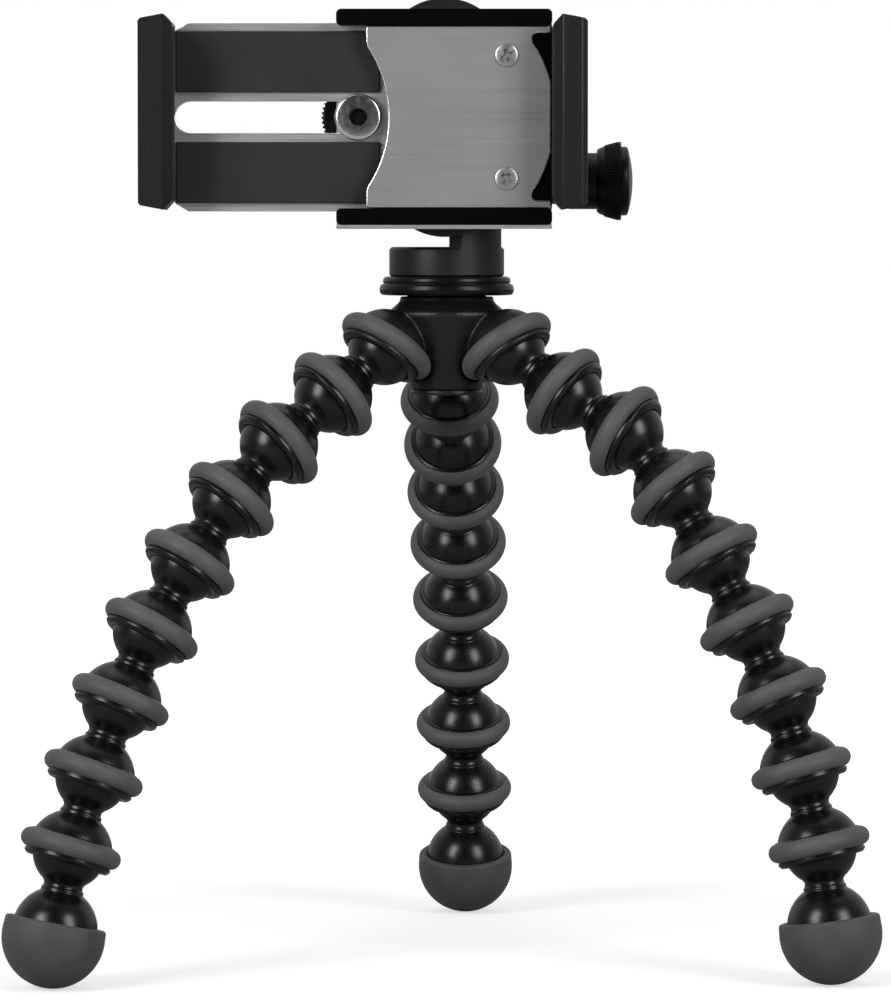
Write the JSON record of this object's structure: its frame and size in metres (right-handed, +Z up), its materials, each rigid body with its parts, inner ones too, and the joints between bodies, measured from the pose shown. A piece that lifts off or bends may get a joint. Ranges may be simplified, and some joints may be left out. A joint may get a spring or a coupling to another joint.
{
  "type": "phone tripod",
  "caption": "Flexible tripod of ball-and-socket links with round rubber feet, a panning and tilting head and a sliding phone clamp.",
  "frame": {"origin": "on the ground the feet stand on, below the middle of the part's bounding box", "axes": "+Z up; the phone faces -Y, towards the camera of the picture; the clamp's fixed jaw and tilt knob are on +X"},
  "size_m": [0.2042, 0.1776, 0.2299],
  "materials": {
    "link_plastic": "satin moulded black",
    "grip_rubber": "matte dark grey",
    "hub_plastic": "satin moulded black",
    "screw_steel": "bright zinc plated",
    "insert_brass": "turned",
    "knob_plastic": "satin",
    "slide_steel": "bright",
    "panel_grey": "satin dark grey",
    "jaw_plastic": "fine texture dark grey",
    "pad_rubber": "matte",
    "strip_grey": "satin dark grey"
  },
  "bodies": {
    "hub": {"hub_shell": "hub_plastic", "hub_socket_rings": "grip_rubber", "hub_base_cap": "hub_plastic", "camera_screw": "screw_steel"},
    "lock_ring": {"lock_ring": "hub_plastic"},
    "mount_base": {"base_post": "hub_plastic", "thread_insert": "insert_brass", "base_pad": "pad_rubber"},
    "tilt_knob": {"tilt_screw": "screw_steel", "knob_grip": "knob_plastic", "knob_cap": "knob_plastic"},
    "holder": {"hinge_bracket": "hub_plastic", "bracket_screws": "screw_steel", "hinge_nut": "screw_steel", "back_shell": "slide_steel", "top_rail": "knob_plastic", "bottom_rail": "knob_plastic", "core_plate": "hub_plastic", "front_plate": "panel_grey", "plate_screws": "screw_steel", "fixed_jaw": "jaw_plastic", "fixed_jaw_pad": "pad_rubber", "clamp_bolt": "screw_steel"},
    "slider": {"slide_plate": "slide_steel", "slide_pads": "strip_grey", "moving_jaw": "jaw_plastic", "moving_jaw_pad": "pad_rubber", "jaw_rivets": "screw_steel"},
    "thumbwheel": {"thumbwheel": "knob_plastic", "wheel_nut": "screw_steel"},
    "left_link_1": {"leg_left_link_1": "link_plastic"},
    "left_link_2": {"leg_left_link_2": "link_plastic"},
    "left_link_3": {"leg_left_link_3": "link_plastic"},
    "left_link_4": {"leg_left_link_4": "link_plastic"},
    "left_link_5": {"leg_left_link_5": "link_plastic"},
    "left_link_6": {"leg_left_link_6": "link_plastic"},
    "left_link_7": {"leg_left_link_7": "link_plastic"},
    "left_link_8": {"leg_left_link_8": "link_plastic"},
    "left_foot": {"leg_left_foot_ball": "link_plastic", "leg_left_foot": "grip_rubber"},
    "right_link_1": {"leg_right_link_1": "link_plastic"},
    "right_link_2": {"leg_right_link_2": "link_plastic"},
    "right_link_3": {"leg_right_link_3": "link_plastic"},
    "right_link_4": {"leg_right_link_4": "link_plastic"},
    "right_link_5": {"leg_right_link_5": "link_plastic"},
    "right_link_6": {"leg_right_link_6": "link_plastic"},
    "right_link_7": {"leg_right_link_7": "link_plastic"},
    "right_link_8": {"leg_right_link_8": "link_plastic"},
    "right_foot": {"leg_right_foot_ball": "link_plastic", "leg_right_foot": "grip_rubber"},
    "rear_link_1": {"leg_rear_link_1": "link_plastic"},
    "rear_link_2": {"leg_rear_link_2": "link_plastic"},
    "rear_link_3": {"leg_rear_link_3": "link_plastic"},
    "rear_link_4": {"leg_rear_link_4": "link_plastic"},
    "rear_link_5": {"leg_rear_link_5": "link_plastic"},
    "rear_link_6": {"leg_rear_link_6": "link_plastic"},
    "rear_link_7": {"leg_rear_link_7": "link_plastic"},
    "rear_link_8": {"leg_rear_link_8": "link_plastic"},
    "rear_foot": {"leg_rear_foot_ball": "link_plastic", "leg_rear_foot": "grip_rubber"}
  },
  "joints": [
    {"name": "lock_ring_turn", "type": "hinge", "parent": "hub", "child": "lock_ring", "pos_m": [0.00086, -0.02732, 0.15978], "axis": [0, 0, 1], "continuous": true},
    {"name": "base_pan", "type": "hinge", "parent": "hub", "child": "mount_base", "pos_m": [0.00086, -0.02732, 0.16408], "axis": [0, 0, 1], "continuous": true},
    {"name": "tilt_knob_turn", "type": "hinge", "parent": "mount_base", "child": "tilt_knob", "pos_m": [0.00086, -0.02732, 0.18698], "axis": [1, 0, 0], "continuous": true},
    {"name": "holder_tilt", "type": "hinge", "parent": "mount_base", "child": "holder", "pos_m": [0.00086, -0.02732, 0.18698], "axis": [-1, 0, 0], "range_deg": [0, 90]},
    {"name": "jaw_slide", "type": "slide", "parent": "holder", "child": "slider", "axis": [1, 0, 0], "range_m": [0, 0.036]},
    {"name": "thumbwheel_turn", "type": "hinge", "parent": "holder", "child": "thumbwheel", "pos_m": [-0.01994, -0.04372, 0.20178], "axis": [0, 1, 0], "continuous": true},
    {"name": "left_ball_1", "type": "hinge", "parent": "hub", "child": "left_link_1", "pos_m": [-0.01392, -0.03571, 0.14708], "axis": [-0.4741, 0.8805, 0], "range_deg": [-40.5, 9.5]},
    {"name": "left_ball_2", "type": "hinge", "parent": "left_link_1", "child": "left_link_2", "pos_m": [-0.0266, -0.04254, 0.13603], "axis": [0.4741, -0.8805, 0], "range_deg": [-25.2, 24.8]},
    {"name": "left_ball_3", "type": "hinge", "parent": "left_link_2", "child": "left_link_3", "pos_m": [-0.03924, -0.04935, 0.12493], "axis": [-0.4741, 0.8805, 0], "range_deg": [-15.8, 34.2]},
    {"name": "left_ball_4", "type": "hinge", "parent": "left_link_3", "child": "left_link_4", "pos_m": [-0.05016, -0.05523, 0.11168], "axis": [0.4741, -0.8805, 0], "range_deg": [-31.6, 18.4]},
    {"name": "left_ball_5", "type": "hinge", "parent": "left_link_4", "child": "left_link_5", "pos_m": [-0.05967, -0.06034, 0.09709], "axis": [-0.4741, 0.8805, 0], "range_deg": [-21.3, 28.7]},
    {"name": "left_ball_6", "type": "hinge", "parent": "left_link_5", "child": "left_link_6", "pos_m": [-0.06832, -0.06501, 0.08183], "axis": [0.4741, -0.8805, 0], "range_deg": [-31.9, 18.1]},
    {"name": "left_ball_7", "type": "hinge", "parent": "left_link_6", "child": "left_link_7", "pos_m": [-0.0753, -0.06876, 0.06551], "axis": [-0.4741, 0.8805, 0], "range_deg": [-21.3, 28.7]},
    {"name": "left_ball_8", "type": "hinge", "parent": "left_link_7", "child": "left_link_8", "pos_m": [-0.08134, -0.07202, 0.0487], "axis": [0.4741, -0.8805, 0], "range_deg": [-28.6, 21.4]},
    {"name": "left_ball_9", "type": "hinge", "parent": "left_link_8", "child": "left_foot", "pos_m": [-0.08644, -0.07476, 0.0315], "axis": [-0.4741, 0.8805, 0], "range_deg": [-18.6, 31.4]},
    {"name": "right_ball_1", "type": "hinge", "parent": "hub", "child": "right_link_1", "pos_m": [0.01553, -0.03592, 0.14708], "axis": [-0.4163, -0.9092, 0], "range_deg": [-43, 7]},
    {"name": "right_ball_2", "type": "hinge", "parent": "right_link_1", "child": "right_link_2", "pos_m": [0.02904, -0.04211, 0.13667], "axis": [0.4163, 0.9092, 0], "range_deg": [-20.1, 29.9]},
    {"name": "right_ball_3", "type": "hinge", "parent": "right_link_2", "child": "right_link_3", "pos_m": [0.04332, -0.04864, 0.12757], "axis": [-0.4163, -0.9092, 0], "range_deg": [-7.5, 42.5]},
    {"name": "right_ball_4", "type": "hinge", "parent": "right_link_3", "child": "right_link_4", "pos_m": [0.05445, -0.05374, 0.11416], "axis": [0.4163, 0.9092, 0], "range_deg": [-35.4, 14.6]},
    {"name": "right_ball_5", "type": "hinge", "parent": "right_link_4", "child": "right_link_5", "pos_m": [0.06319, -0.05774, 0.09877], "axis": [-0.4163, -0.9092, 0], "range_deg": [-22.5, 27.5]},
    {"name": "right_ball_6", "type": "hinge", "parent": "right_link_5", "child": "right_link_6", "pos_m": [0.07132, -0.06146, 0.08298], "axis": [0.4163, 0.9092, 0], "range_deg": [-29, 21]},
    {"name": "right_ball_7", "type": "hinge", "parent": "right_link_6", "child": "right_link_7", "pos_m": [0.07842, -0.06472, 0.06659], "axis": [-0.4163, -0.9092, 0], "range_deg": [-17.7, 32.3]},
    {"name": "right_ball_8", "type": "hinge", "parent": "right_link_7", "child": "right_link_8", "pos_m": [0.08358, -0.06708, 0.04935], "axis": [0.4163, 0.9092, 0], "range_deg": [-29, 21]},
    {"name": "right_ball_9", "type": "hinge", "parent": "right_link_8", "child": "right_foot", "pos_m": [0.08763, -0.06893, 0.03176], "axis": [-0.4163, -0.9092, 0], "range_deg": [-18.8, 31.2]},
    {"name": "rear_ball_1", "type": "hinge", "parent": "hub", "child": "rear_link_1", "pos_m": [0.00098, -0.01032, 0.14708], "axis": [0.9985, -0.0541, 0], "range_deg": [-28.2, 21.8]},
    {"name": "rear_ball_2", "type": "hinge", "parent": "rear_link_1", "child": "rear_link_2", "pos_m": [0.00161, 0.00138, 0.13322], "axis": [-0.9985, 0.0541, 0], "range_deg": [-12.4, 37.6]},
    {"name": "rear_ball_3", "type": "hinge", "parent": "rear_link_2", "child": "rear_link_3", "pos_m": [0.0024, 0.01582, 0.12224], "axis": [0.9985, -0.0541, 0], "range_deg": [-19.6, 30.4]},
    {"name": "rear_ball_4", "type": "hinge", "parent": "rear_link_3", "child": "rear_link_4", "pos_m": [0.00312, 0.02916, 0.10996], "axis": [-0.9985, 0.0541, 0], "range_deg": [-30.6, 19.4]},
    {"name": "rear_ball_5", "type": "hinge", "parent": "rear_link_4", "child": "rear_link_5", "pos_m": [0.00377, 0.04124, 0.09643], "axis": [0.9985, -0.0541, 0], "range_deg": [-19.6, 30.4]},
    {"name": "rear_ball_6", "type": "hinge", "parent": "rear_link_5", "child": "rear_link_6", "pos_m": [0.00436, 0.05199, 0.08182], "axis": [-0.9985, 0.0541, 0], "range_deg": [-34.4, 15.6]},
    {"name": "rear_ball_7", "type": "hinge", "parent": "rear_link_6", "child": "rear_link_7", "pos_m": [0.0048, 0.06022, 0.06565], "axis": [0.9985, -0.0541, 0], "range_deg": [-19.2, 30.8]},
    {"name": "rear_ball_8", "type": "hinge", "parent": "rear_link_7", "child": "rear_link_8", "pos_m": [0.00516, 0.06678, 0.04873], "axis": [-0.9985, 0.0541, 0], "range_deg": [-28.3, 21.7]},
    {"name": "rear_ball_9", "type": "hinge", "parent": "rear_link_8", "child": "rear_foot", "pos_m": [0.00546, 0.07235, 0.03145], "axis": [0.9985, -0.0541, 0], "range_deg": [-19.9, 30.1]}
  ]
}
